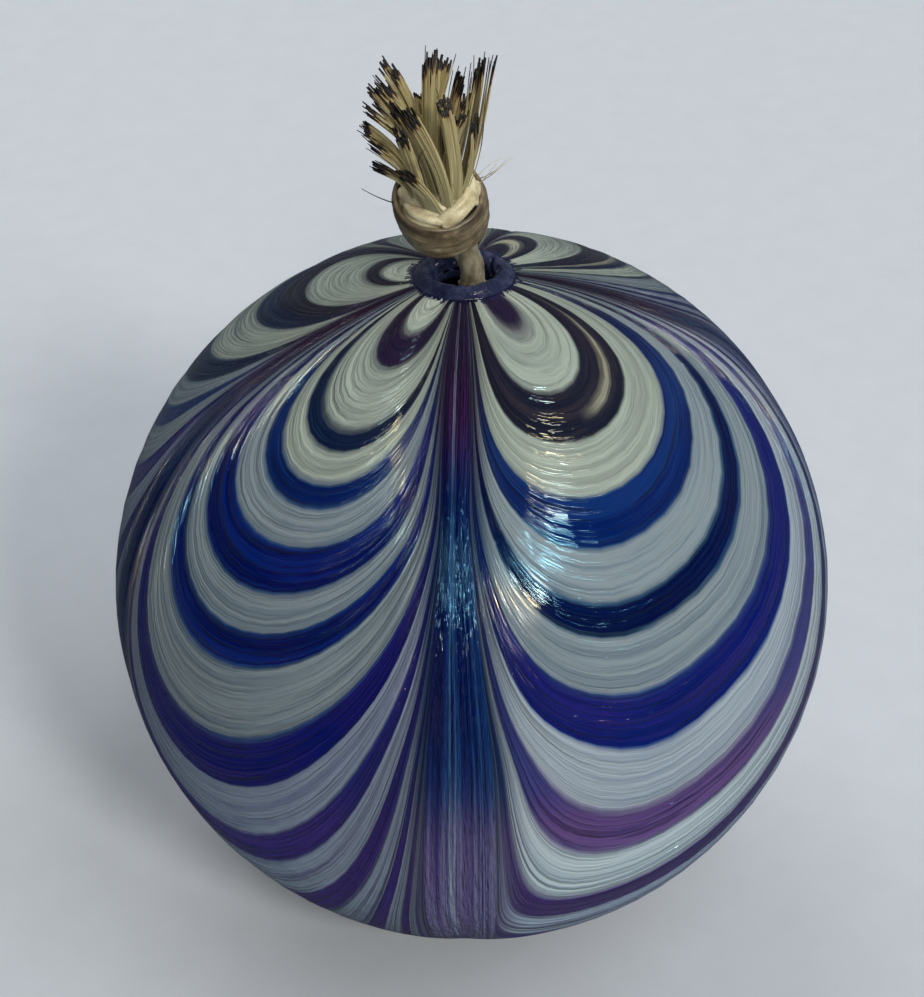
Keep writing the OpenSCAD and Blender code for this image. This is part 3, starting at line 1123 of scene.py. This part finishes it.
class YarnCurve:
    """The smooth middle line of a CAD yarn, with its wide and thin directions."""

    def __init__(self, node):
        self.centres, self.wides = yarn_line(node)
        for index in range(1, len(self.wides)):
            if self.wides[index] @ self.wides[index - 1] < 0:
                self.wides[index] *= -1
        self.length = np.linalg.norm(np.diff(self.centres, axis=0), axis=1).sum()
        places = np.linspace(0, 1, len(self.centres))
        self.line = np.polyfit(places, self.centres, 2)
        self.wide = np.polyfit(places, self.wides, 2)

    def at(self, share):
        """Middle, wide direction and thin direction at this share of the way from root to tip."""
        reach = min(share, 1)
        centre = self.line[0] * share**2 + self.line[1] * share + self.line[2]
        ahead = 2 * self.line[0] * share + self.line[1]
        wide = self.wide[0] * reach**2 + self.wide[1] * reach + self.wide[2]
        ahead /= np.linalg.norm(ahead)
        wide -= ahead * (wide @ ahead)
        wide /= np.linalg.norm(wide)
        return centre, wide, np.cross(wide, ahead)


def strand(curve, group, side, depth, reach, half_width, flat, rng, stray):
    """One strand of a yarn: its middle line, its ring radii and how far each ring is from the tip."""
    lean = (rng.gauss(0, stray), rng.gauss(0, stray))
    shares = np.linspace(0, reach, FIBRE_STEPS)
    gather = MOUTH + KNOT_TURN @ GATHER
    root = curve.centres[0] * (1 - GATHER_PULL) + gather * GATHER_PULL - KNOT_TURN @ UP * ROOT_SINK
    line = []
    for share in shares:
        centre, wide, thick = curve.at(share)
        half = ROOT_HALF_WIDTH + (group.spread - ROOT_HALF_WIDTH) * min(share, 1) ** 1.5
        point = centre + wide * (side * half + lean[0] * share**2)
        point = point + KNOT_TURN @ BOW * (group.bow * math.sin(math.pi * min(share, 1)))
        point = point + thick * (depth * (0.16 + 0.08 * share) + lean[1] * share**2)
        pull = max(0.0, 1 - share / 0.3) ** 2
        line.append(point * (1 - pull) + (root + (point - curve.centres[0]) * 0.9) * pull)
    line = np.array(line)
    turn = np.arange(STRAND_SIDES) * 2 * math.pi / STRAND_SIDES
    ribs = np.array([1 + rng.uniform(-0.16, 0.10) for _ in turn])
    swell = 1 + 0.10 * np.sin(shares * 5 + rng.uniform(0, 6))
    swell[-1] *= 0.82
    radii = half_width * swell[:, None] * ribs
    hint = curve.at(0.5)[2]
    points, faces = tube(line, STRAND_SIDES, radii, frame_hint=hint, flat=flat)
    rest = (shares[-1] - shares) * curve.length
    return points, faces, rest, shares


def add_strand(heap, parts, char, own_shade, around):
    """Put a strand in the heap, with the values that its material reads."""
    points, faces, _, shares = parts
    heap.add(
        points, faces, along=np.repeat(shares, STRAND_SIDES), char=np.repeat(char, STRAND_SIDES),
        shade=own_shade, around=around,
    )


def yarn_fibres(node, rng):
    """A flat bundle of strands that follows the CAD yarn and frays out towards its singed tip."""
    group = GROUPS[node.split("_")[0]]
    curve = YarnCurve(node)
    yarn_burn = group.burn * rng.uniform(1 - group.scatter, 1 + group.scatter)
    heap = Heap()
    around = np.tile(np.arange(STRAND_SIDES) / STRAND_SIDES, FIBRE_STEPS)
    for layer in range(group.layers):
        for index in range(group.strands):
            side = (index + 0.5) / group.strands * 2 - 1 + rng.uniform(-0.08, 0.08) + 0.12 * (layer - 0.5)
            depth = 1.0 if layer else -1.0
            reach = group.length + rng.uniform(-group.ragged, group.ragged * 0.4) - 0.05 * layer
            parts = strand(curve, group, side, depth, reach, rng.uniform(0.11, 0.19), 0.6, rng, 0.09)
            burn = yarn_burn * rng.uniform(0.35, 1.35)
            rest = parts[2]
            char = np.clip(1.1 - rest / burn, 0, 1.1) if burn > 0.35 else 0 * rest
            own_shade = rng.random()
            add_strand(heap, parts, char, own_shade, around + 3 * rng.random())
    for _ in range(group.strays):
        side = rng.uniform(-1.1, 1.1)
        depth = rng.uniform(-1.4, 1.4)
        reach = group.length + rng.uniform(-0.12, 0.05)
        parts = strand(curve, group, side, depth, reach, 0.05, 1.0, rng, 0.28)
        char = np.clip(1.1 - parts[2] / (yarn_burn * rng.uniform(0.5, 1.4)), 0, 1.1)
        add_strand(heap, parts, char, rng.random(), around)
    return heap


def yarn_material(name, root, body, tip_brown):
    """Silky cotton yarn: ivory with tan streaks, going brown and then black where it has been burnt."""
    shade = Shade(name)
    along = shade.attribute("along")
    char = shade.attribute("char")
    own = shade.attribute("shade")
    around = shade.attribute("around")
    place = shade.place()
    mottle = shade.noise(place, 700.0, 3.0, 0.6)
    silk_place = shade.vector(shade.times(around, 9.0), shade.times(along, 1.6), own)
    silk = shade.noise(silk_place, 1.6, 3.0, 0.65)
    colour = shade.ramp(own, [(0.0, body), (0.5, root), (0.85, body), (1.0, srgb(134, 118, 76))])
    colour = shade.mix(shade.fit(silk, 0.38, 0.62, 0.6, 0.0), colour, srgb(112, 102, 64))
    colour = shade.mix(shade.fit(along, 0.45, 1.0, 0, 0.4), colour, srgb(138, 120, 80))
    colour = shade.mix(shade.fit(mottle, 0.55, 0.75, 0, 0.3), colour, srgb(104, 88, 52))
    burnt = shade.plus(char, shade.fit(mottle, 0.3, 0.7, -0.12, 0.12, smooth=False))
    burnt = shade.plus(burnt, shade.fit(silk, 0.35, 0.65, -0.10, 0.10, smooth=False))
    scorch = shade.ramp(
        burnt,
        [(0.0, (1, 1, 1, 1)), (0.14, (1, 1, 1, 1)), (0.30, tip_brown), (0.42, srgb(26, 16, 11)),
         (1.0, srgb(7, 6, 8))],
    )
    colour = shade.mix(1.0, colour, scorch, "MULTIPLY")
    return shade.finish(
        Base_Color=colour,
        Roughness=shade.fit(burnt, 0.2, 0.6, 0.42, 0.62),
        Normal=shade.bump(silk, 0.03, 0.8),
        Sheen_Weight=shade.fit(burnt, 0.1, 0.4, 0.25, 0.0),
        Sheen_Roughness=0.35,
        Subsurface_Weight=0.25,
        Subsurface_Scale=0.0008,
        Subsurface_Radius=(1.0, 0.75, 0.45),
    )


def make_yarns():
    ivory = yarn_material("yarn_ivory", srgb(168, 158, 118), srgb(144, 132, 90), srgb(140, 92, 46))
    russet = yarn_material("yarn_russet", srgb(184, 166, 124), srgb(162, 138, 96), srgb(150, 70, 34))
    rng = random.Random(5)
    nodes = [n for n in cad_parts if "_yarn_" in n]
    for node in sorted(nodes):
        piece = yarn_fibres(node, rng).build(node + "_fibres")
        settle(piece, russet if node == "middle_yarn_3" else ivory, "knot", node)


# Start, bend and tip of each loose hair, from the middle of the knot's mouth, then its radius and how
# burnt its start is.
HAIRS = [
    ([-4.6, -0.9, -0.9], [-6.2, -1.2, -0.2], [-7.9, -1.0, 0.9], 0.07, 0.9),
    ([4.6, 0.4, 0.6], [6.4, 0.8, 1.5], [8.2, 1.2, 3.2], 0.05, 0.2),
    ([4.6, 0.9, 0.8], [6.6, 1.6, 1.2], [7.6, 2.4, 2.4], 0.05, 0.3),
    ([4.4, 1.2, 1.0], [5.8, 1.8, 2.4], [7.4, 2.0, 2.6], 0.045, 0.2),
    ([4.5, 0.2, 0.4], [5.6, 0.4, 1.6], [6.4, 0.2, 2.9], 0.045, 0.3),
    ([-1.4, -4.4, 4.6], [-2.2, -4.9, 6.0], [-1.0, -5.0, 7.2], 0.06, 0.7),
]


def make_hairs():
    hairs = Heap()
    steps = 14
    sides = 6
    for *places, radius, burnt in HAIRS:
        start, middle, end = (MOUTH + np.array(p) for p in places)
        path = curve_through(start, middle, end, np.linspace(0, 1, steps))
        points, faces = tube(path, sides, np.linspace(radius, radius * 0.5, steps))
        char = np.repeat(np.linspace(burnt, burnt * 0.6, steps), sides)
        hairs.add(points, faces, along=0.6, char=char, shade=0.4, around=0.5)
    yarn_hair = yarn_material("yarn_hair", srgb(190, 182, 156), srgb(170, 158, 126), srgb(110, 84, 54))
    settle(hairs.build("loose_hairs"), yarn_hair, "knot", "loose_fibres")


# ---- Studio ----

EYE_HEIGHT = math.radians(36.5)
EYE_DISTANCE = 6.5 * BALL_R
EYE_ROLL = math.radians(-1.4)
AIM_RIGHT = math.tan(math.radians(0.238))
AIM_DOWN = math.tan(math.radians(2.092))
EYE_LENS = 89.06


def make_camera():
    data = bpy.data.cameras.new("camera")
    data.sensor_fit = "HORIZONTAL"
    data.sensor_width = 36
    data.lens = EYE_LENS
    camera = bpy.data.objects.new("camera", data)
    bpy.context.scene.collection.objects.link(camera)
    back = Vector((0, -math.cos(EYE_HEIGHT), math.sin(EYE_HEIGHT)))
    right = Vector((1, 0, 0))
    up = back.cross(right)
    rolled_right = right * math.cos(EYE_ROLL) + up * math.sin(EYE_ROLL)
    rolled_up = up * math.cos(EYE_ROLL) - right * math.sin(EYE_ROLL)
    # The ball's centre sits a little right of and below the middle of the frame.
    aim = Vector((AIM_RIGHT, -AIM_DOWN, 1)).normalized()
    tilt = Vector((0, 0, 1)).rotation_difference(aim).to_matrix()
    axes = tilt @ Matrix((rolled_right, rolled_up, -back))
    turn = Matrix((axes[0], axes[1], -axes[2])).transposed()
    place = Vector(CENTRE * MM) + back * EYE_DISTANCE * MM
    camera.matrix_world = Matrix.Translation(place) @ turn.to_4x4()
    bpy.context.scene.camera = camera


# Half the floor's side, in metres, and the direction that most of the room's light comes from.
FLOOR_HALF = 8.0
BRIGHT_SIDE = (0.25, 0.8, 0.45)


def far_light(name, azimuth, height, spread, strength, colour, mirrored=True):
    """A far, soft light from this direction. One that is not mirrored leaves no image in the glass."""
    data = bpy.data.lights.new(name, "SUN")
    data.angle = math.radians(spread)
    data.energy = strength
    data.color = colour
    lamp = bpy.data.objects.new(name, data)
    bpy.context.scene.collection.objects.link(lamp)
    side = math.radians(azimuth)
    rise = math.radians(height)
    aim = Vector((math.sin(side) * math.cos(rise), -math.cos(side) * math.cos(rise), math.sin(rise)))
    lamp.rotation_euler = aim.to_track_quat("Z", "Y").to_euler()
    lamp.visible_glossy = mirrored


def make_floor():
    corners = np.array([[-1, -1, 0], [1, -1, 0], [1, 1, 0], [-1, 1, 0]]) * FLOOR_HALF
    floor = mesh_object("floor", corners / MM, [[0, 1, 2, 3]])
    shade = Shade("paper")
    grain = shade.noise(shade.place(), 160.0, 4.0, 0.6)
    paper = shade.mix(grain, srgb(160, 164, 169), srgb(168, 172, 177))
    # Painted reflection: glossy rays see the floor in a dark colour, so the glass mirrors a dim floor.
    mirrored = shade.node("ShaderNodeLightPath", output="Is Glossy Ray")
    floor.data.materials.append(shade.finish(
        Base_Color=shade.mix(mirrored, paper, srgb(50, 54, 62)),
        Roughness=0.85,
        Normal=shade.bump(grain, 0.15, 0.3),
    ))


def make_room():
    """Even light from all round, brighter from behind and above, and dim where the glass mirrors it."""
    world = bpy.data.worlds.new("studio")
    world.use_nodes = True
    room = Nodes(world.node_tree)
    toward = room.tree.nodes.new("ShaderNodeVectorMath")
    toward.operation = "DOT_PRODUCT"
    room.put(toward.inputs[0], room.node("ShaderNodeTexCoord", output="Generated"))
    room.put(toward.inputs[1], BRIGHT_SIDE)
    level = room.fit(toward.outputs["Value"], -0.7, 0.8, 0.08, 0.34, smooth=False)
    mirrored = room.node("ShaderNodeLightPath", output="Is Glossy Ray")
    level = room.times(level, room.fit(mirrored, 0, 1, 1.0, 0.25, smooth=False))
    seen = room.node("ShaderNodeLightPath", output="Is Camera Ray")
    level = room.fit(seen, 0, 1, level, 0.74, smooth=False)
    backdrop = room.tree.nodes["Background"]
    backdrop.inputs["Color"].default_value = (0.78, 0.83, 0.9, 1)
    room.put(backdrop.inputs["Strength"], level)
    bpy.context.scene.world = world


def make_lights():
    far_light("key", 29, 33, 12, 2.5, (1.0, 0.98, 0.94))
    far_light("pane", 5, 31, 8, 0.9, (1.0, 0.96, 0.88))
    far_light("window", 80, 50, 60, 1.9, (0.94, 0.97, 1.0), mirrored=False)
    far_light("back", 205, 50, 50, 1.4, (0.96, 0.98, 1.0), mirrored=False)
    bpy.context.scene.view_settings.view_transform = "Standard"


make_casing()
make_bubble()
make_cord()
make_knot()
make_folds()
make_yarns()
make_hairs()
make_camera()
make_floor()
make_room()
make_lights()
